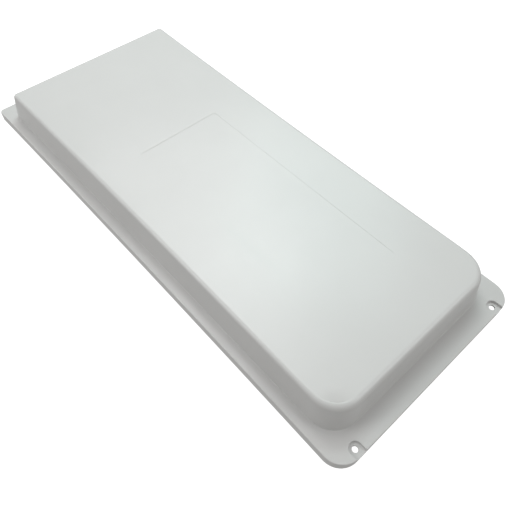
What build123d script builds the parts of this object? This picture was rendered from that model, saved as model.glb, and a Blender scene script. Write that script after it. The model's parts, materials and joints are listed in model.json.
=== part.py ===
"""Roof vent cover for an RV or caravan refrigerator flue: a moulded lift-off cover over a collared roof base.

Millimetres, +Z up, roof surface at z = 0. The origin is on the roof under the middle of the cover.
+X points to the end with the large corner radii (the near end), -X to the end with the small radii
(the far end), -Y is the left side and +Y the right side.
"""
from build123d import *
import os

# ---- Cover: overall size ----
COVER_LENGTH = 595.0
COVER_WIDTH = 254.0
COVER_HEIGHT = 46.6         # rim bottom to top panel
AIR_GAP = 10.0              # roof to rim bottom, where the air leaves
COVER_WALL = 2.5

# ---- Cover: rim and flange ----
RIM_HEIGHT = 11.5           # rim bottom to flange top
FLANGE_NEAR_RADIUS = 20.8   # plan corner radii of the flange
FLANGE_FAR_RADIUS = 5.8
FLANGE_EDGE_ROUND = 1.0
FLANGE_BOW = 1.4            # inward bow of the long sides at mid-length

# ---- Cover: dome, as insets from the flange outline ----
CREASE_SIDE = 12.9          # where the dome wall meets the flange
CREASE_NEAR = 22.2
CREASE_FAR = 22.0
CREASE_NEAR_RADIUS = 28.3
CREASE_BOW = 0.6
SIDE_DRAFT = 2.2            # how far the walls lean in over the dome's height
END_DRAFT = 6.2
TOP_NEAR_RADIUS = 30.0
DOME_FAR_RADIUS = 7.5
TOP_BOW = 3.4
TOP_EDGE_ROUND = 6.3

# ---- Cover: shallow panel in the top and screw recesses in the flange ----
PANEL_LENGTH = 274.0
PANEL_WIDTH = 106.5
PANEL_DEPTH = 0.3
PANEL_RADIUS = 2.0
PANEL_OFFSET = 57.5         # panel centre from mid-length, towards the near end
HOLE_FROM_END = 7.4
HOLE_FROM_SIDE = 25.0       # near end
FAR_HOLE_FROM_SIDE = 34.0
COVER_HOLE_RADIUS = 2.9
RECESS_WIDTH = 12.4
RECESS_DEPTH = 2.8
RECESS_FLOOR = 1.8
RECESS_WALL = 2.0

# ---- Base: collar, roof flange and gasket ----
SIDE_AIRWAY = 40.0          # between the dome's inside and the collar
END_AIRWAY = 8.0
BASE_WALL = 2.5
COLLAR_TOP = 33.0
COLLAR_RADIUS = 8.0
LIP_WIDTH = 12.0            # inward lip that carries the screen
BASE_FLANGE_SIDE = 27.0     # roof flange beyond the collar
BASE_FLANGE_END = 18.0
BASE_FLANGE_RADIUS = 12.0
GASKET_THICK = 2.0
GASKET_SIDE_WIDTH = 24.0
GASKET_END_WIDTH = 15.0
ROOF_HOLE_RADIUS = 2.5
GASKET_HOLE_RADIUS = 3.0
ROOF_HOLE_END_MARGIN = 42.0  # first hole of a side row, from the flange end
ROOF_HOLES_PER_SIDE = 5
END_HOLE_FROM_SIDE = 55.0   # end holes, from the flange side

# ---- Screen, retaining strips and their screws ----
SCREEN_THICK = 0.8
SCREEN_CLEARANCE = 1.5      # screen edge to the collar's outside
STRIP_THICK = 1.5
STRIP_WIDTH = 12.0
STRIP_SCREW_MARGIN = 9.0
STRIP_SCREWS_PER_SIDE = 4
END_STRIP_SCREW_MARGIN = 13.0
SCREW_SHANK_RADIUS = 1.45
SCREW_HEAD_RADIUS = 3.1
SCREW_HEAD_HEIGHT = 1.9
SCREW_LENGTH = 9.5          # under the head
PILOT_CLEARANCE = 0.05
SHEET_CLEARANCE = 0.35      # screw shank in the screen, strips and bracket feet
DRIVE_WIDTH = 0.7
DRIVE_LENGTH = 3.4
DRIVE_DEPTH = 0.9

# ---- Cover supports ----
SUPPORTS_PER_SIDE = 3
SUPPORT_END_MARGIN = 60.0   # support centre from the strip end
BRACKET_THICK = 1.5
BRACKET_WIDTH = 12.0
BRACKET_FOOT = 22.0
BRACKET_SHELF = 20.0
BRACKET_BEND = 1.0
FOOT_SCREW_PITCH = 9.0
FOOT_SCREW_MARGIN = 6.0
PAD_THICK = 2.0
PAD_MARGIN = 1.0
PAD_RADIUS = 2.5

# ---- Worked out from the sizes above ----
RIM_Z = AIR_GAP
FLANGE_Z = RIM_Z + RIM_HEIGHT
COVER_TOP = RIM_Z + COVER_HEIGHT
COVER_UNDERSIDE = COVER_TOP - COVER_WALL
HALF_LENGTH = COVER_LENGTH / 2
HALF_WIDTH = COVER_WIDTH / 2
COVER_HOLE_X = HALF_LENGTH - HOLE_FROM_END
NEAR_HOLE_Y = HALF_WIDTH - HOLE_FROM_SIDE
FAR_HOLE_Y = HALF_WIDTH - FAR_HOLE_FROM_SIDE

COLLAR_HALF_X = HALF_LENGTH - CREASE_NEAR - END_DRAFT - COVER_WALL - END_AIRWAY + TOP_EDGE_ROUND / 2
COLLAR_HALF_Y = HALF_WIDTH - CREASE_SIDE - SIDE_DRAFT - COVER_WALL - SIDE_AIRWAY
DUCT_HALF_X = COLLAR_HALF_X - BASE_WALL
DUCT_HALF_Y = COLLAR_HALF_Y - BASE_WALL
BASE_HALF_X = COLLAR_HALF_X + BASE_FLANGE_END
BASE_HALF_Y = COLLAR_HALF_Y + BASE_FLANGE_SIDE
BASE_FLANGE_TOP = GASKET_THICK + BASE_WALL
ROOF_ROW_Y = COLLAR_HALF_Y + BASE_FLANGE_SIDE / 2
ROOF_ROW_X = BASE_HALF_X - ROOF_HOLE_END_MARGIN
ROOF_END_X = COLLAR_HALF_X + BASE_FLANGE_END / 2
ROOF_END_Y = BASE_HALF_Y - END_HOLE_FROM_SIDE

SCREEN_HALF_X = COLLAR_HALF_X - SCREEN_CLEARANCE
SCREEN_HALF_Y = COLLAR_HALF_Y - SCREEN_CLEARANCE
STRIP_Z = COLLAR_TOP + SCREEN_THICK
STRIP_TOP = STRIP_Z + STRIP_THICK
STRIP_Y = SCREEN_HALF_Y - STRIP_WIDTH / 2
END_STRIP_X = SCREEN_HALF_X - STRIP_WIDTH / 2
BRACKET_TOP = COVER_UNDERSIDE - PAD_THICK


def spread(half_span, count):
    """Evenly spaced places from -half_span to +half_span."""
    return [half_span * (2 * i / (count - 1) - 1) for i in range(count)]


ROOF_HOLES = [(x, side * ROOF_ROW_Y) for x in spread(ROOF_ROW_X, ROOF_HOLES_PER_SIDE) for side in (-1, 1)]
ROOF_HOLES += [(end * ROOF_END_X, side * ROOF_END_Y) for end in (-1, 1) for side in (-1, 1)]
SUPPORT_XS = spread(SCREEN_HALF_X - SUPPORT_END_MARGIN, SUPPORTS_PER_SIDE)
SIDE_SCREW_XS = spread(SCREEN_HALF_X - STRIP_SCREW_MARGIN, STRIP_SCREWS_PER_SIDE)
END_SCREW_Y = SCREEN_HALF_Y - STRIP_WIDTH - END_STRIP_SCREW_MARGIN
STRIP_SCREWS = [(x, side * STRIP_Y) for x in SIDE_SCREW_XS for side in (-1, 1)]
STRIP_SCREWS += [(end * END_STRIP_X, side * END_SCREW_Y) for end in (-1, 1) for side in (-1, 1)]
FOOT_SCREW_OFFSETS = [-FOOT_SCREW_MARGIN, -FOOT_SCREW_MARGIN - FOOT_SCREW_PITCH]
BRACKET_SCREWS = [(x + dx, side * STRIP_Y) for x in SUPPORT_XS for dx in FOOT_SCREW_OFFSETS for side in (-1, 1)]


# ---- Helpers ----
def outline(z, near, far, side, near_radius, far_radius, bow):
    """Plan outline at height z, inset from the cover's box, with its long sides bowed inwards."""
    x1, x0, y = HALF_LENGTH - near, far - HALF_LENGTH, HALF_WIDTH - side
    middle = (x0 + x1) / 2
    left = ThreePointArc((x0, -y), (middle, bow - y), (x1, -y))
    right = ThreePointArc((x1, y), (middle, y - bow), (x0, y))
    face = make_face([left, Line((x1, -y), (x1, y)), right, Line((x0, y), (x0, -y))])
    face = fillet(face.vertices().filter_by(lambda v: v.X > 0), near_radius)
    face = fillet(face.vertices().group_by(Axis.X)[0], far_radius)
    return Pos(0, 0, z) * face


def block(half_x, half_y, z0, z1, radius):
    """Upright block with rounded plan corners, centred on the origin in plan."""
    return Pos(0, 0, z0) * extrude(RectangleRounded(2 * half_x, 2 * half_y, radius), z1 - z0)


def bar(x0, x1, y0, y1, z0, z1):
    """Plain box between two corners."""
    return Pos((x0 + x1) / 2, (y0 + y1) / 2, (z0 + z1) / 2) * Box(x1 - x0, y1 - y0, z1 - z0)


def drills(places, radius, z0, z1):
    """Cylinders that cut a row of vertical holes."""
    return [Pos(x, y, (z0 + z1) / 2) * Cylinder(radius, z1 - z0) for x, y in places]


def inside(places, x0, x1, y0, y1):
    return [(x, y) for x, y in places if x0 < x < x1 and y0 < y < y1]


# ---- Cover ----
def flange_block(inset, bottom, top):
    shape = outline(0, inset, inset, inset, FLANGE_NEAR_RADIUS - inset, FLANGE_FAR_RADIUS - inset, FLANGE_BOW)
    return Pos(0, 0, bottom) * extrude(shape, top - bottom)


def dome_block(inset, bottom, top, edge_round):
    low = outline(bottom, CREASE_NEAR + inset, CREASE_FAR + inset, CREASE_SIDE + inset,
                  CREASE_NEAR_RADIUS - inset, DOME_FAR_RADIUS - inset, CREASE_BOW)
    high = outline(top, CREASE_NEAR + END_DRAFT + inset, CREASE_FAR + END_DRAFT + inset,
                   CREASE_SIDE + SIDE_DRAFT + inset, TOP_NEAR_RADIUS - inset, DOME_FAR_RADIUS - inset, TOP_BOW)
    dome = loft([low, high], ruled=True)
    return fillet(dome.edges().group_by(Axis.Z)[-1], edge_round)


def cover_hole(end, side):
    """Plan place of one cover screw; the far pair stands closer together than the near pair."""
    return end * COVER_HOLE_X, side * (NEAR_HOLE_Y if end > 0 else FAR_HOLE_Y)


def recess_block(end, side, grow, z0, z1):
    """U-shaped block that runs out through the end of the flange."""
    radius = RECESS_WIDTH / 2 + grow
    x, y = cover_hole(end, side)
    out = end * (HALF_LENGTH + grow + 1)
    slot = bar(min(x, out), max(x, out), y - radius, y + radius, z0, z1)
    return slot + Pos(x, y, (z0 + z1) / 2) * Cylinder(radius, z1 - z0)


def cover_shell():
    body = flange_block(0, RIM_Z, FLANGE_Z)
    body = fillet(body.edges().group_by(Axis.Z)[-1], FLANGE_EDGE_ROUND)
    body += dome_block(0, FLANGE_Z, COVER_TOP, TOP_EDGE_ROUND)
    underside = FLANGE_Z - COVER_WALL
    hollow = flange_block(COVER_WALL, RIM_Z - 1, underside)
    hollow += dome_block(COVER_WALL, underside, COVER_UNDERSIDE, TOP_EDGE_ROUND - COVER_WALL)
    floor = FLANGE_Z - RECESS_DEPTH
    corners = [(end, side) for end in (-1, 1) for side in (-1, 1)]
    for end, side in corners:
        hollow -= recess_block(end, side, RECESS_WALL, floor - RECESS_FLOOR, underside)
    shell = body - hollow
    for end, side in corners:
        shell -= recess_block(end, side, 0, floor, FLANGE_Z + 1)
    holes = [cover_hole(end, side) for end, side in corners]
    shell -= drills(holes, COVER_HOLE_RADIUS, RIM_Z, FLANGE_Z)
    panel = extrude(RectangleRounded(PANEL_LENGTH, PANEL_WIDTH, PANEL_RADIUS), PANEL_DEPTH + 1)
    return shell - Pos(PANEL_OFFSET, 0, COVER_TOP - PANEL_DEPTH) * panel


# ---- Base ----
def base_frame():
    frame = block(BASE_HALF_X, BASE_HALF_Y, GASKET_THICK, BASE_FLANGE_TOP, BASE_FLANGE_RADIUS)
    frame += block(COLLAR_HALF_X, COLLAR_HALF_Y, GASKET_THICK, COLLAR_TOP, COLLAR_RADIUS)
    frame -= block(DUCT_HALF_X, DUCT_HALF_Y, 0, COLLAR_TOP - BASE_WALL, COLLAR_RADIUS - BASE_WALL)
    frame -= block(COLLAR_HALF_X - LIP_WIDTH, COLLAR_HALF_Y - LIP_WIDTH, 0, COLLAR_TOP + 1, BASE_WALL)
    frame -= drills(ROOF_HOLES, ROOF_HOLE_RADIUS, 0, BASE_FLANGE_TOP + 1)
    pilots = drills(STRIP_SCREWS + BRACKET_SCREWS, SCREW_SHANK_RADIUS + PILOT_CLEARANCE,
                    COLLAR_TOP - BASE_WALL - 1, COLLAR_TOP + 1)
    return frame - pilots


def gasket(x0, x1, y0, y1):
    strip = bar(x0, x1, y0, y1, 0, GASKET_THICK)
    holes = inside(ROOF_HOLES, x0, x1, y0, y1)
    return strip - drills(holes, GASKET_HOLE_RADIUS, -1, GASKET_THICK + 1)


def gaskets():
    """Four butted foam strips under the roof flange."""
    inner_y = BASE_HALF_Y - GASKET_SIDE_WIDTH
    inner_x = BASE_HALF_X - GASKET_END_WIDTH
    long_x = BASE_HALF_X - BASE_FLANGE_RADIUS
    return {
        "roof_gasket_left": gasket(-long_x, long_x, -BASE_HALF_Y, -inner_y),
        "roof_gasket_right": gasket(-long_x, long_x, inner_y, BASE_HALF_Y),
        "roof_gasket_near": gasket(inner_x, BASE_HALF_X, -inner_y, inner_y),
        "roof_gasket_far": gasket(-BASE_HALF_X, -inner_x, -inner_y, inner_y),
    }


# ---- Screen and strips ----
def insect_screen():
    sheet = block(SCREEN_HALF_X, SCREEN_HALF_Y, COLLAR_TOP, STRIP_Z, COLLAR_RADIUS - SCREEN_CLEARANCE)
    return sheet - drills(STRIP_SCREWS + BRACKET_SCREWS, SCREW_SHANK_RADIUS + SHEET_CLEARANCE,
                          COLLAR_TOP - 1, STRIP_Z + 1)


def strip(x0, x1, y0, y1):
    flat = bar(x0, x1, y0, y1, STRIP_Z, STRIP_TOP)
    holes = inside(STRIP_SCREWS + BRACKET_SCREWS, x0, x1, y0, y1)
    return flat - drills(holes, SCREW_SHANK_RADIUS + SHEET_CLEARANCE, STRIP_Z - 1, STRIP_TOP + 1)


def strips():
    """Flat bars that clamp the screen's edges to the collar's lip."""
    inner_y = SCREEN_HALF_Y - STRIP_WIDTH
    inner_x = SCREEN_HALF_X - STRIP_WIDTH
    long_x = SCREEN_HALF_X - COLLAR_RADIUS / 2
    return {
        "screen_strip_left": strip(-long_x, long_x, -SCREEN_HALF_Y, -inner_y),
        "screen_strip_right": strip(-long_x, long_x, inner_y, SCREEN_HALF_Y),
        "screen_strip_near": strip(inner_x, SCREEN_HALF_X, -inner_y, inner_y),
        "screen_strip_far": strip(-SCREEN_HALF_X, -inner_x, -inner_y, inner_y),
    }


def screw(x, y, seat):
    """Pan-head screw with a cross drive, its head resting at height seat."""
    head = Pos(x, y, seat + SCREW_HEAD_HEIGHT / 2) * Cylinder(SCREW_HEAD_RADIUS, SCREW_HEAD_HEIGHT)
    head = fillet(head.edges().group_by(Axis.Z)[-1], SCREW_HEAD_HEIGHT / 2)
    drive_z = seat + SCREW_HEAD_HEIGHT
    head -= Pos(x, y, drive_z) * Box(DRIVE_LENGTH, DRIVE_WIDTH, 2 * DRIVE_DEPTH)
    head -= Pos(x, y, drive_z) * Box(DRIVE_WIDTH, DRIVE_LENGTH, 2 * DRIVE_DEPTH)
    shank = Pos(x, y, seat - SCREW_LENGTH / 2) * Cylinder(SCREW_SHANK_RADIUS, SCREW_LENGTH)
    tip = shank.edges().group_by(Axis.Z)[0]
    return head + chamfer(tip, SCREW_SHANK_RADIUS / 2)


def screws(places, seat):
    return Compound([screw(x, y, seat) for x, y in places])


# ---- Cover supports ----
def support_bracket(x, y):
    """Folded Z bracket: foot on the strip, web at x, shelf under the pad."""
    low, high, t = STRIP_TOP, BRACKET_TOP, BRACKET_THICK
    points = [(x - BRACKET_FOOT, low), (x, low), (x, high - t), (x + BRACKET_SHELF, high - t),
              (x + BRACKET_SHELF, high), (x - t, high), (x - t, low + t), (x - BRACKET_FOOT, low + t)]
    profile = make_face(Polyline(*[(px, 0, pz) for px, pz in points], close=True))
    bracket = Pos(0, y + BRACKET_WIDTH / 2, 0) * extrude(profile, BRACKET_WIDTH, dir=(0, -1, 0))
    bends = bracket.edges().filter_by(Axis.Y).filter_by(lambda e: x - t - 0.1 < e.center().X < x + 0.1)
    bracket = fillet(bends, BRACKET_BEND)
    holes = [(x + dx, y) for dx in FOOT_SCREW_OFFSETS]
    return bracket - drills(holes, SCREW_SHANK_RADIUS + SHEET_CLEARANCE, low - 1, low + t + 1)


def support_pad(x, y):
    """Rubber pad on the bracket's shelf, its top against the cover's underside."""
    pad = RectangleRounded(BRACKET_SHELF - 2 * PAD_MARGIN, BRACKET_WIDTH - 2 * PAD_MARGIN, PAD_RADIUS)
    return Pos(x + BRACKET_SHELF / 2, y, BRACKET_TOP) * extrude(pad, PAD_THICK)


def supports():
    parts = {}
    for x, place in zip(SUPPORT_XS, ("far", "middle", "near")):
        for side, hand in ((-1, "left"), (1, "right")):
            parts[f"support_bracket_{place}_{hand}"] = support_bracket(x, side * STRIP_Y)
            parts[f"support_pad_{place}_{hand}"] = support_pad(x, side * STRIP_Y)
    return parts


# ---- Assembly ----
def build():
    parts = {"cover_shell": cover_shell(), "base_frame": base_frame(), "insect_screen": insect_screen()}
    parts.update(gaskets())
    parts.update(strips())
    parts["strip_screws"] = screws(STRIP_SCREWS, STRIP_TOP)
    parts.update(supports())
    parts["bracket_screws"] = screws(BRACKET_SCREWS, STRIP_TOP + BRACKET_THICK)
    return parts


os.makedirs("parts", exist_ok=True)
for node, shape in build().items():
    export_step(shape, f"parts/{node}.step")
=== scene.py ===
"""Roof vent cover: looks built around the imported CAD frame. Metres, same frame as the CAD."""
import json
import math

import bmesh
import bpy
from mathutils import Matrix, Vector


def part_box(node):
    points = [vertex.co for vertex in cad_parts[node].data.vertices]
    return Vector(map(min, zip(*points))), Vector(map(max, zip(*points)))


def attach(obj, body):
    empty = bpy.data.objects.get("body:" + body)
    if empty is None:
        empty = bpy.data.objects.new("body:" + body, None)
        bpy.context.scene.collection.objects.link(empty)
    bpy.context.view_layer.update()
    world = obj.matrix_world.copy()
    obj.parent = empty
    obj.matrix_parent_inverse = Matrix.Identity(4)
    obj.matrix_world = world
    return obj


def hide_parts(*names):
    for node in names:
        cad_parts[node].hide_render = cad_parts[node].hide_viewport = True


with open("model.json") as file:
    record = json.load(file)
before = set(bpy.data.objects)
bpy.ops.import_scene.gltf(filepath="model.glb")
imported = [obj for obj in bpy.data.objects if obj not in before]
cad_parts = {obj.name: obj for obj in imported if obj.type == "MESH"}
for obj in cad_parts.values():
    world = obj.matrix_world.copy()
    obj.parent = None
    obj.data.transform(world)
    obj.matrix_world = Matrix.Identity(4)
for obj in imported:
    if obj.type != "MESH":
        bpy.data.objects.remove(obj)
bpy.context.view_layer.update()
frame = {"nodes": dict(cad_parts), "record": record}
NODES = frame["nodes"]
MM = 0.001
SHARP_ANGLE = math.radians(32)

# ---- Camera ----
CAMERA_PLACE = Vector((0.3165, -0.2480, 0.4690))
CAMERA_TARGET = Vector((0.0934, -0.0369, 0.0300))
CAMERA_ROLL = math.radians(1.52)
CAMERA_LENS = 36.74

# ---- Light: an even sky, softboxes as (azimuth, elevation, size, watts, colour), a glowing floor ----
COOL, NEUTRAL = (0.76, 1.0, 0.96), (1.0, 1.0, 1.0)
SOFTBOXES = [(150, 72, 0.7, 5.3, NEUTRAL), (120, 52, 0.7, 5.2, COOL), (150, 52, 0.7, 4.9, NEUTRAL),
             (30, 34, 0.7, 4.2, NEUTRAL), (240, 34, 0.7, 7.0, NEUTRAL), (126, 60, 0.18, 0.3, COOL)]
SOFTBOX_DISTANCE = 1.6
LIT_POINT = Vector((0, 0, 0.03))
SKY_COLOUR = (1.0, 0.99, 0.97)
SKY_STRENGTH = 0.44
FLOOR_COLOUR = (0.20, 0.20, 0.20)
FLOOR_GLOW = 1.02
FLOOR_RADIUS = 5.0
BACKDROP_COVE = 2.0
BACKDROP_HEIGHT = 7.0
FLOOR_SIDES = 64
COVE_STEPS = 9

# ---- Cover, as the CAD has it ----
COVER_LOW, COVER_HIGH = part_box("cover_shell")
HALF_LENGTH = (COVER_HIGH.x - COVER_LOW.x) / 2
BOW_ALLOWANCE = 0.04 * MM     # a little less than the bow takes off the widest part of the flange
HALF_WIDTH = COVER_HIGH.y + BOW_ALLOWANCE
RIM_Z = COVER_LOW.z
TOP_Z = COVER_HIGH.z
RIM_HEIGHT = 11.5 * MM
FLANGE_Z = RIM_Z + RIM_HEIGHT
WALL = 2.5 * MM

# ---- Cover outline and section ----
CORNER_STEPS = 16
LONG_STEPS = 96
END_STEPS = 24
SMALL_ROUND_STEPS = 4
FLANGE_TOP_STEPS = 5
FLANGE_UNDER_STEPS = 4
OUTER_WALL_STEPS = 8
INNER_WALL_STEPS = 6
TOP_STEPS = 6
TOP_ROUND_STEPS = 12
TOP_ROUND_START = 6.0         # degrees; the side walls already lean in by about this much
FLANGE_NEAR_RADIUS = 20.8 * MM
FLANGE_FAR_RADIUS = 5.8 * MM
FLANGE_EDGE_ROUND = 1.0 * MM
RIM_EDGE_ROUND = 0.4 * MM
FLANGE_BOW = 1.4 * MM
CREASE_SIDE = 12.9 * MM
CREASE_NEAR = 22.2 * MM
CREASE_FAR = 22.0 * MM
CREASE_NEAR_RADIUS = 28.3 * MM
CREASE_ROUND = 0.6 * MM
CREASE_BOW = 0.6 * MM
SIDE_DRAFT = 3.4 * MM
NEAR_DRAFT = 4.8 * MM
FAR_DRAFT = 8.1 * MM
TOP_NEAR_RADIUS = 30.0 * MM
DOME_FAR_RADIUS = 5.0 * MM
TOP_BOW = 1.9 * MM
TOP_NEAR_ROUND = 6.0 * MM
TOP_SIDE_ROUND = 3.8 * MM
TOP_ROUND_BLEND = 40.0 * MM
PANEL_LENGTH = 274.0 * MM
PANEL_WIDTH = 106.5 * MM
PANEL_DEPTH = 0.2 * MM
PANEL_SLOPE = 0.06 * MM
PANEL_GUARD = 0.6 * MM
PANEL_RADIUS = 2.0 * MM
PANEL_OFFSET = 57.5 * MM
PANEL_STEPS = 24
HOLLOW_FADE = 12 * MM
CORNER_MARK = Vector((257, -98, 0)) * MM
CORNER_MARK_REACH = 11 * MM
CORNER_MARK_DEPTH = 0.35 * MM
CORNER_MARK_FADE = 0.012      # share of the way to the panel over which the mark ends
HOLLOWS = [(95, -36, 42, 0.6), (152, 4, 40, -0.15)]     # (x, y, radius, depth) in mm

# ---- Screw recesses ----
HOLE_FROM_END = 7.4 * MM
NEAR_HOLE_FROM_SIDE = 25.0 * MM
FAR_HOLE_FROM_SIDE = 34.0 * MM
COVER_HOLE_RADIUS = 2.9 * MM
HOLE_EDGE = 0.25 * MM
HOLE_STEPS = 40
RECESS_WIDTH = 12.4 * MM
RECESS_DEPTH = 2.8 * MM
RECESS_FLOOR = 1.8 * MM
RECESS_WALL = 2.0 * MM
RECESS_ROUND = 0.8 * MM
RECESS_EDGE = 0.3 * MM
U_STEPS = 24

# ---- Woven screen ----
WIRE_PITCH = 3.2 * MM
WIRE_RADIUS = 0.2 * MM
WIRE_SIDES = 6


# ---------------------------------------------------------------- materials
def new_material(name, base, roughness, metallic=0.0, specular=0.5):
    """A Principled material; returns it with its node tree and shader."""
    material = bpy.data.materials.new(name)
    material.use_nodes = True
    tree = material.node_tree
    shader = tree.nodes["Principled BSDF"]
    shader.inputs["Base Color"].default_value = (*base, 1)
    shader.inputs["Roughness"].default_value = roughness
    shader.inputs["Metallic"].default_value = metallic
    shader.inputs["Specular IOR Level"].default_value = specular
    return material, tree, shader


def noise(tree, scale, detail=3.0, stretch=(1, 1, 1)):
    """Noise in the object's own coordinates; returns its value socket."""
    coords = tree.nodes.new("ShaderNodeTexCoord")
    mapping = tree.nodes.new("ShaderNodeMapping")
    mapping.inputs["Scale"].default_value = stretch
    texture = tree.nodes.new("ShaderNodeTexNoise")
    texture.inputs["Scale"].default_value = scale
    texture.inputs["Detail"].default_value = detail
    tree.links.new(coords.outputs["Object"], mapping.inputs["Vector"])
    tree.links.new(mapping.outputs["Vector"], texture.inputs["Vector"])
    return texture.outputs["Fac"]


def blend_colour(tree, shader, factor, low, high, start=0.35, end=0.65):
    """Base colour that runs from low to high with factor."""
    ramp = tree.nodes.new("ShaderNodeValToRGB")
    ramp.color_ramp.elements[0].position = start
    ramp.color_ramp.elements[1].position = end
    ramp.color_ramp.elements[0].color = (*low, 1)
    ramp.color_ramp.elements[1].color = (*high, 1)
    tree.links.new(factor, ramp.inputs["Fac"])
    tree.links.new(ramp.outputs["Color"], shader.inputs["Base Color"])


def vary_roughness(tree, shader, factor, low, high):
    """Roughness that runs from low to high with factor."""
    spread = tree.nodes.new("ShaderNodeMapRange")
    spread.inputs["To Min"].default_value = low
    spread.inputs["To Max"].default_value = high
    tree.links.new(factor, spread.inputs["Value"])
    tree.links.new(spread.outputs["Result"], shader.inputs["Roughness"])


def bump(tree, shader, heights):
    """Chained bumps; heights is a list of (value socket, strength, distance in metres)."""
    normal = None
    for socket, strength, distance in heights:
        node = tree.nodes.new("ShaderNodeBump")
        node.inputs["Strength"].default_value = strength
        node.inputs["Distance"].default_value = distance
        tree.links.new(socket, node.inputs["Height"])
        if normal:
            tree.links.new(normal, node.inputs["Normal"])
        normal = node.outputs["Normal"]
    tree.links.new(normal, shader.inputs["Normal"])


def moulded_plastic(name, low, high, roughness, grain=0.25, coat=0.0):
    """Satin moulding: faint cloudiness, fine spark-eroded grain and slow flow waves."""
    material, tree, shader = new_material(name, high, roughness)
    shader.inputs["Coat Weight"].default_value = coat
    shader.inputs["Coat Roughness"].default_value = 0.2
    cloud = noise(tree, 9.0, detail=4.0)
    blend_colour(tree, shader, cloud, low, high)
    vary_roughness(tree, shader, noise(tree, 60.0), roughness - 0.04, roughness + 0.05)
    bump(tree, shader, [(noise(tree, 6.0, detail=1.0), 0.06, 0.0015),
                        (noise(tree, 1400.0, detail=2.0), grain, 0.00005)])
    return material


def foam(name, low, high):
    """Matt closed-cell foam with open pores on its cut faces."""
    material, tree, shader = new_material(name, high, 0.85, specular=0.2)
    blend_colour(tree, shader, noise(tree, 700.0, detail=4.0), low, high)
    bump(tree, shader, [(noise(tree, 1600.0, detail=2.0), 0.8, 0.0002)])
    return material


def rubber(name, low, high):
    """Dull rubber with a fine grain."""
    material, tree, shader = new_material(name, high, 0.6, specular=0.3)
    blend_colour(tree, shader, noise(tree, 150.0), low, high)
    bump(tree, shader, [(noise(tree, 1500.0), 0.4, 0.0001)])
    return material


def metal(name, low, high, roughness, stretch):
    """Metal with a drawn or rolled grain along the axis that stretch compresses."""
    material, tree, shader = new_material(name, high, roughness, metallic=1.0)
    grain = noise(tree, 90.0, detail=5.0, stretch=stretch)
    blend_colour(tree, shader, grain, low, high)
    vary_roughness(tree, shader, grain, roughness - 0.06, roughness + 0.1)
    bump(tree, shader, [(noise(tree, 500.0, detail=4.0, stretch=stretch), 0.15, 0.0001)])
    return material


COVER_PLASTIC = moulded_plastic("cover_plastic", (0.547, 0.547, 0.541), (0.564, 0.564, 0.558), 0.37,
                                coat=0.22)
BASE_PLASTIC = moulded_plastic("base_plastic", (0.60, 0.60, 0.575), (0.66, 0.66, 0.635), 0.5, grain=0.4)
GASKET_FOAM = foam("gasket_foam", (0.012, 0.012, 0.012), (0.035, 0.035, 0.034))
PAD_RUBBER = rubber("pad_rubber", (0.010, 0.010, 0.010), (0.022, 0.022, 0.022))
SCREEN_WIRE = metal("screen_wire", (0.45, 0.46, 0.47), (0.62, 0.63, 0.64), 0.38, (1, 1, 1))
STRIP_METAL = metal("strip_metal", (0.62, 0.63, 0.64), (0.75, 0.76, 0.77), 0.34, (0.05, 1, 1))
BRACKET_METAL = metal("bracket_metal", (0.52, 0.53, 0.53), (0.68, 0.69, 0.68), 0.36, (1, 1, 1))
SCREW_STEEL = metal("screw_steel", (0.58, 0.58, 0.58), (0.74, 0.74, 0.74), 0.25, (1, 1, 1))

FINISHES = {
    "cover_plastic": COVER_PLASTIC, "base_plastic": BASE_PLASTIC, "gasket_foam": GASKET_FOAM,
    "pad_rubber": PAD_RUBBER, "screen_wire": SCREEN_WIRE, "strip_metal": STRIP_METAL,
    "bracket_metal": BRACKET_METAL, "screw_steel": SCREW_STEEL,
}


def dress_cad_nodes():
    """Every CAD node takes the material of its slot."""
    for entry in frame["record"]["subparts"]:
        node = NODES[entry["node"]]
        node.data.materials.clear()
        node.data.materials.append(FINISHES[entry["material_slot"]])


dress_cad_nodes()


# ---------------------------------------------------------------- meshes
def make_piece(name, vertices, faces, material):
    """A linked object with one mesh, one material and tidy normals."""
    mesh = bpy.data.meshes.new(name)
    mesh.from_pydata([tuple(v) for v in vertices], [], faces)
    mesh.materials.append(material)
    piece = bpy.data.objects.new(name, mesh)
    bpy.context.scene.collection.objects.link(piece)
    tidy_normals(mesh)
    return piece


def tidy_normals(mesh):
    """Outward normals, smooth faces, sharp where two faces meet at more than SHARP_ANGLE."""
    work = bmesh.new()
    work.from_mesh(mesh)
    bmesh.ops.recalc_face_normals(work, faces=work.faces)
    work.to_mesh(mesh)
    work.free()
    mesh.polygons.foreach_set("use_smooth", [True] * len(mesh.polygons))
    mesh.set_sharp_from_angle(angle=SHARP_ANGLE)
    mesh.update()


def skin(rings):
    """Vertices and faces of the closed skin through equal rings, with one face over each end ring."""
    count = len(rings[0])
    last = (len(rings) - 1) * count
    vertices = [v for ring in rings for v in ring]
    faces = []
    for a in range(0, last, count):
        b = a + count
        for i in range(count):
            j = (i + 1) % count
            faces.append((a + i, a + j, b + j, b + i))
    faces.append(tuple(range(count))[::-1])
    faces.append(tuple(range(last, last + count)))
    return vertices, faces


def boolean(target, cutter, operation):
    """Applies an exact boolean to target's mesh and removes the cutter."""
    modifier = target.modifiers.new("cut", "BOOLEAN")
    modifier.object = cutter
    modifier.operation = operation
    modifier.solver = "EXACT"
    graph = bpy.context.evaluated_depsgraph_get()
    mesh = bpy.data.meshes.new_from_object(target.evaluated_get(graph))
    target.modifiers.clear()
    target.data = mesh
    bpy.data.objects.remove(cutter)
    tidy_normals(mesh)


def lerp(a, b, t):
    return a + (b - a) * t


def clamp(value, low, high):
    return max(low, min(high, value))


def quarter(steps):
    """Angles from 0 to 90 degrees, in radians."""
    return [math.radians(90 * i / steps) for i in range(steps + 1)]


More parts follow.
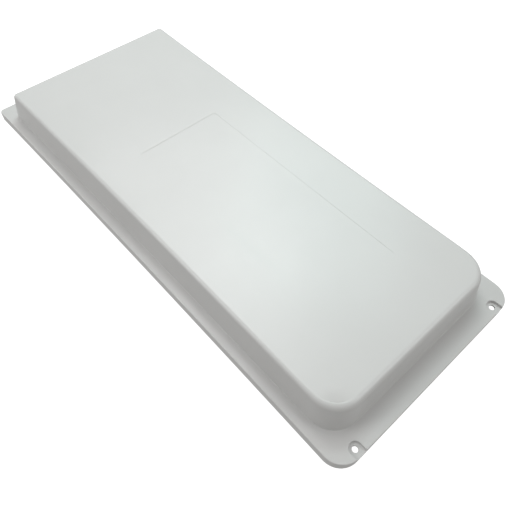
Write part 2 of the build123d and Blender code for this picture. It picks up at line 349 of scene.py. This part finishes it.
def circle(steps):
    """Angles once round, in radians."""
    return [math.tau * i / steps for i in range(steps)]


# ---------------------------------------------------------------- the moulded cover
def outline(z, near, far, side, near_radius, far_radius, bow):
    """Closed plan ring at height z, inset from the cover's box, its long sides bowed inwards."""
    x1, x0, y1 = HALF_LENGTH - near, far - HALF_LENGTH, HALF_WIDTH - side
    corners = [(x1 - near_radius, y1 - near_radius, near_radius, 0),
               (x0 + far_radius, y1 - far_radius, far_radius, 90),
               (x0 + far_radius, far_radius - y1, far_radius, 180),
               (x1 - near_radius, near_radius - y1, near_radius, 270)]
    arcs = []
    for cx, cy, radius, start in corners:
        angles = [math.radians(start + 90 * i / CORNER_STEPS) for i in range(CORNER_STEPS + 1)]
        arcs.append([(cx + radius * math.cos(a), cy + radius * math.sin(a)) for a in angles])
    ring = []
    for index, arc in enumerate(arcs):
        ring += arc
        (ax, ay), (bx, by) = arc[-1], arcs[(index + 1) % 4][0]
        run = LONG_STEPS if index % 2 == 0 else END_STEPS
        ring += [(lerp(ax, bx, i / run), lerp(ay, by, i / run)) for i in range(1, run)]
    middle, half = (x0 + x1) / 2, (x1 - x0) / 2
    return [Vector((x, y * (1 - bow * (1 - ((x - middle) / half) ** 2) / y1), z)) for x, y in ring]


def flange_ring(z, inset):
    """Ring of the flange at height z, inset all round."""
    near_radius, far_radius = FLANGE_NEAR_RADIUS - inset, FLANGE_FAR_RADIUS - inset
    return outline(z, inset, inset, inset, near_radius, far_radius, FLANGE_BOW)


def dome_ring(z, inset, low):
    """Ring of the dome at height z; its walls start leaning in at height low."""
    t = (z - low) / (TOP_Z - FLANGE_Z)
    near_radius = lerp(CREASE_NEAR_RADIUS, TOP_NEAR_RADIUS, t) - inset
    return outline(z, CREASE_NEAR + NEAR_DRAFT * t + inset, CREASE_FAR + FAR_DRAFT * t + inset,
                   CREASE_SIDE + SIDE_DRAFT * t + inset, near_radius, DOME_FAR_RADIUS - inset,
                   lerp(CREASE_BOW, TOP_BOW, t))


def between(first, last, steps):
    """Rings strictly between two rings."""
    return [[a.lerp(b, i / steps) for a, b in zip(first, last)] for i in range(1, steps)]


def rounded_edge(radius, top, inset, low):
    """Rings of the rounding between the dome's wall and its top."""
    rings = []
    for i in range(TOP_ROUND_STEPS + 1):
        angle = math.radians(lerp(TOP_ROUND_START, 90, i / TOP_ROUND_STEPS))
        z = top - radius * (1 - math.sin(angle))
        rings.append(dome_ring(z, inset + radius * (1 - math.cos(angle)), low))
    return rings


def shoulder_rings(top, inset, low):
    """Rings of the dome's top edge, whose rounding grows where the sides meet the near end."""
    near = rounded_edge(TOP_NEAR_ROUND - inset, top, inset, low)
    side = rounded_edge(TOP_SIDE_ROUND - inset, top, inset, low)
    start = HALF_LENGTH - CREASE_NEAR - NEAR_DRAFT - TOP_ROUND_BLEND
    rings = []
    for near_ring, side_ring in zip(near, side):
        growth = [clamp((v.x - start) / TOP_ROUND_BLEND, 0.0, 1.0) for v in near_ring]
        rings.append([b.lerp(a, t) for a, b, t in zip(near_ring, side_ring, growth)])
    return rings


def mark_corner(ring):
    """A faint crescent sunk where the rounding of the near left corner meets the top."""
    for v in ring:
        away = ((v.x - CORNER_MARK.x) ** 2 + (v.y - CORNER_MARK.y) ** 2) / CORNER_MARK_REACH ** 2
        v.z -= CORNER_MARK_DEPTH * math.exp(-away)


def hollow_depth(x, y):
    """Shrinkage of the moulded panel: the sum of its soft hollows."""
    return sum(depth * MM * math.exp(-((x - cx * MM) ** 2 + (y - cy * MM) ** 2) / (radius * MM) ** 2)
               for cx, cy, radius, depth in HOLLOWS)


def panel_rings(edge_ring):
    """Rings from the panel's edge in to its middle, sunk by the hollows."""
    low, high = min(v.x for v in edge_ring), max(v.x for v in edge_ring)
    core = (high - low - PANEL_WIDTH) / 2
    middle = (low + high) / 2
    spine = [Vector((middle + clamp(v.x - middle, -core, core), 0, v.z)) for v in edge_ring]
    rings = between(edge_ring, spine, PANEL_STEPS)
    edge = PANEL_WIDTH / 2
    for ring in rings:
        for v in ring:
            from_edge = min(edge - abs(v.y), v.x - low, high - v.x)
            inside = clamp(from_edge / HOLLOW_FADE, 0.0, 1.0)
            v.z -= hollow_depth(v.x, v.y) * inside * inside * (3 - 2 * inside)
    return rings


def panel_ring(sink, grow):
    """Ring round the top's panel, sunk by sink and inset by grow."""
    near = HALF_LENGTH - PANEL_OFFSET - PANEL_LENGTH / 2
    far = HALF_LENGTH + PANEL_OFFSET - PANEL_LENGTH / 2
    side = HALF_WIDTH - PANEL_WIDTH / 2
    return outline(TOP_Z - sink, near + grow, far + grow, side + grow, PANEL_RADIUS, PANEL_RADIUS, 0)


def top_rings(edge):
    """Rings of the top from its edge ring in to the panel's middle; the edge ring takes the corner mark."""
    flat = [v.copy() for v in edge]
    mark_corner(edge)
    guard = panel_ring(0, -PANEL_GUARD)
    rim = panel_ring(0, 0)
    step = panel_ring(PANEL_DEPTH, PANEL_SLOPE)
    floor = panel_ring(PANEL_DEPTH, PANEL_SLOPE + PANEL_GUARD)
    inside_mark = [a.lerp(b, CORNER_MARK_FADE) for a, b in zip(flat, guard)]
    rings = [inside_mark] + between(inside_mark, guard, TOP_STEPS) + [guard, rim, step, floor]
    return rings + panel_rings(floor)


def outer_rings():
    """Rings of the cover's outside, from the rim's foot up and in to the middle of the top."""
    rings = [flange_ring(RIM_Z, RIM_EDGE_ROUND), flange_ring(RIM_Z + RIM_EDGE_ROUND, 0)]
    for angle in quarter(SMALL_ROUND_STEPS):
        rings.append(flange_ring(FLANGE_Z - FLANGE_EDGE_ROUND * (1 - math.sin(angle)),
                                 FLANGE_EDGE_ROUND * (1 - math.cos(angle))))
    foot = dome_ring(FLANGE_Z, -CREASE_ROUND, FLANGE_Z)
    rings += between(rings[-1], foot, FLANGE_TOP_STEPS)
    for angle in quarter(SMALL_ROUND_STEPS):
        z = FLANGE_Z + CREASE_ROUND * (1 - math.cos(angle))
        rings.append(dome_ring(z, -CREASE_ROUND * (1 - math.sin(angle)), FLANGE_Z))
    shoulder = shoulder_rings(TOP_Z, 0, FLANGE_Z)
    rings += between(rings[-1], shoulder[0], OUTER_WALL_STEPS) + shoulder
    return rings + top_rings(rings[-1])


def inner_rings():
    """Rings of the cover's inside, from the rim's foot up to the edge of the flat ceiling."""
    low = FLANGE_Z - WALL
    rings = [flange_ring(RIM_Z, WALL - RIM_EDGE_ROUND), flange_ring(RIM_Z + RIM_EDGE_ROUND, WALL),
             flange_ring(low, WALL)]
    foot = dome_ring(low, WALL, low)
    rings += between(rings[-1], foot, FLANGE_UNDER_STEPS) + [foot]
    shoulder = shoulder_rings(TOP_Z - WALL, WALL, low)
    return rings + between(rings[-1], shoulder[0], INNER_WALL_STEPS) + shoulder


def hole_place(end, side):
    """Plan place of one cover screw; the far pair stands closer together than the near pair."""
    from_side = NEAR_HOLE_FROM_SIDE if end > 0 else FAR_HOLE_FROM_SIDE
    return Vector((end * (HALF_LENGTH - HOLE_FROM_END), side * (HALF_WIDTH - from_side), 0))


def u_cutter(end, side, profile):
    """U-shaped solid open to the cover's end; profile is a list of (height, growth, reach past the end)."""
    centre = hole_place(end, side)
    rings = []
    for z, grow, reach in profile:
        radius = RECESS_WIDTH / 2 + grow
        out = end * (HALF_LENGTH + reach)
        ring = [Vector((out, centre.y - radius, z))]
        for i in range(U_STEPS + 1):
            angle = math.radians(-90 - 180 * i / U_STEPS)
            x = centre.x + end * radius * math.cos(angle)
            ring.append(Vector((x, centre.y + radius * math.sin(angle), z)))
        ring.append(Vector((out, centre.y + radius, z)))
        rings.append(ring)
    return make_piece("cutter", *skin(rings), COVER_PLASTIC)


def hole_cutter(end, side, floor):
    """Round cutter for one cover screw, with a small chamfer at the recess floor."""
    centre = hole_place(end, side)
    profile = [(RIM_Z, 0), (floor - HOLE_EDGE, 0), (floor, HOLE_EDGE), (FLANGE_Z, HOLE_EDGE)]
    rings = []
    for z, grow in profile:
        radius = COVER_HOLE_RADIUS + grow
        rings.append([centre + Vector((radius * math.cos(a), radius * math.sin(a), z))
                      for a in circle(HOLE_STEPS)])
    return make_piece("cutter", *skin(rings), COVER_PLASTIC)


def make_cover():
    """The hollow moulding with its four bossed, U-shaped screw recesses and their holes."""
    rings = inner_rings()[::-1] + outer_rings()
    cover = make_piece("cover_moulding", *skin(rings), COVER_PLASTIC)
    floor = FLANGE_Z - RECESS_DEPTH
    boss = [(floor - RECESS_FLOOR, RECESS_WALL, -WALL / 2),
            (FLANGE_Z - WALL / 2, RECESS_WALL, -WALL / 2)]
    pocket = [(floor + RECESS_ROUND * (1 - math.cos(a)), RECESS_ROUND * (math.sin(a) - 1), WALL)
              for a in quarter(SMALL_ROUND_STEPS)]
    pocket += [(FLANGE_Z - RECESS_EDGE, 0, WALL),
               (FLANGE_Z, RECESS_EDGE, WALL),
               (FLANGE_Z + WALL, RECESS_EDGE, WALL)]
    corners = [(end, side) for end in (-1, 1) for side in (-1, 1)]
    for end, side in corners:
        boolean(cover, u_cutter(end, side, boss), "UNION")
    for end, side in corners:
        boolean(cover, u_cutter(end, side, pocket), "DIFFERENCE")
        boolean(cover, hole_cutter(end, side, floor), "DIFFERENCE")
    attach(cover, "cover")
    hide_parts("cover_shell")


make_cover()


# ---------------------------------------------------------------- the woven screen
def wire_rings(points, across):
    """Rings of one wire through points; across is the plan direction square to the wire."""
    up = Vector((0, 0, 1))
    section = [WIRE_RADIUS * (math.cos(a) * across + math.sin(a) * up) for a in circle(WIRE_SIDES)]
    return [[point + corner for corner in section] for point in points]


def make_screen():
    """Plain-woven wire cloth: each wire passes over and under the ones it crosses."""
    low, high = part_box("insect_screen")
    middle = (low.z + high.z) / 2
    places = []
    for k in (0, 1):
        size = high[k] - low[k]
        count = round(size / WIRE_PITCH)
        places.append([low[k] + size * (i + 0.5) / count for i in range(count)])
    vertices, faces = [], []
    for run, cross, sign in ((0, 1, 1), (1, 0, -1)):
        across = Vector((0, 1, 0)) if run == 0 else Vector((1, 0, 0))
        for j, place in enumerate(places[cross]):
            points = []
            stations = [low[run]] + places[run] + [high[run]]
            for i, station in enumerate(stations):
                at_end = i in (0, len(stations) - 1)
                lift = 0 if at_end else sign * WIRE_RADIUS * (-1) ** (i + 1 + j)
                x, y = (station, place) if run == 0 else (place, station)
                points.append(Vector((x, y, middle + lift)))
            new_vertices, new_faces = skin(wire_rings(points, across))
            faces += [tuple(len(vertices) + v for v in face) for face in new_faces]
            vertices += new_vertices
    screen = make_piece("woven_screen", vertices, faces, SCREEN_WIRE)
    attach(screen, "base")
    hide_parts("insect_screen")


make_screen()


# ---------------------------------------------------------------- floor, lights and camera
def make_floor():
    """A round pale floor that sweeps up into a backdrop; it glows white but lights nothing."""
    sweep = [(FLOOR_RADIUS + BACKDROP_COVE * math.sin(a), BACKDROP_COVE * (1 - math.cos(a)))
             for a in quarter(COVE_STEPS)]
    sweep.append((FLOOR_RADIUS + BACKDROP_COVE, BACKDROP_HEIGHT))
    rings = [[(radius * math.cos(a), radius * math.sin(a), z) for a in circle(FLOOR_SIDES)]
             for radius, z in sweep]
    vertices, faces = skin(rings)
    open_faces = faces[:-1]
    mesh = bpy.data.meshes.new("floor")
    mesh.from_pydata(vertices, [], open_faces)
    floor = bpy.data.objects.new("floor", mesh)
    bpy.context.scene.collection.objects.link(floor)
    material, _, shader = new_material("floor_white", FLOOR_COLOUR, 0.9, specular=0.0)
    shader.inputs["Emission Color"].default_value = (1, 1, 1, 1)
    shader.inputs["Emission Strength"].default_value = FLOOR_GLOW
    mesh.materials.append(material)
    floor.visible_diffuse = False
    floor.visible_glossy = False
    floor.visible_shadow = False


def make_sky():
    """Even light from all round."""
    world = bpy.data.worlds.new("sky")
    world.use_nodes = True
    background = world.node_tree.nodes["Background"]
    background.inputs["Color"].default_value = (*SKY_COLOUR, 1)
    background.inputs["Strength"].default_value = SKY_STRENGTH
    bpy.context.scene.world = world


def make_softboxes():
    """Square softboxes on a dome around the object, all facing it."""
    for number, (azimuth, elevation, size, power, colour) in enumerate(SOFTBOXES):
        data = bpy.data.lights.new(f"softbox_{number}", "AREA")
        data.shape = "SQUARE"
        data.size = size
        data.energy = power
        data.color = colour
        light = bpy.data.objects.new(data.name, data)
        turn, lift = math.radians(azimuth), math.radians(elevation)
        away = Vector((math.cos(turn) * math.cos(lift), math.sin(turn) * math.cos(lift), math.sin(lift)))
        light.location = LIT_POINT + SOFTBOX_DISTANCE * away
        light.rotation_euler = away.to_track_quat("Z", "Y").to_euler()
        bpy.context.scene.collection.objects.link(light)


def make_camera():
    """The camera of the main picture."""
    data = bpy.data.cameras.new("camera")
    data.sensor_width = 36.0
    data.lens = CAMERA_LENS
    data.clip_start = 0.01
    camera = bpy.data.objects.new("camera", data)
    aim = (CAMERA_TARGET - CAMERA_PLACE).to_track_quat("-Z", "Y").to_matrix().to_4x4()
    camera.matrix_world = Matrix.Translation(CAMERA_PLACE) @ aim @ Matrix.Rotation(CAMERA_ROLL, 4, "Z")
    bpy.context.scene.collection.objects.link(camera)
    bpy.context.scene.camera = camera


make_floor()
make_sky()
make_softboxes()
make_camera()
bpy.context.scene.view_settings.view_transform = "Standard"
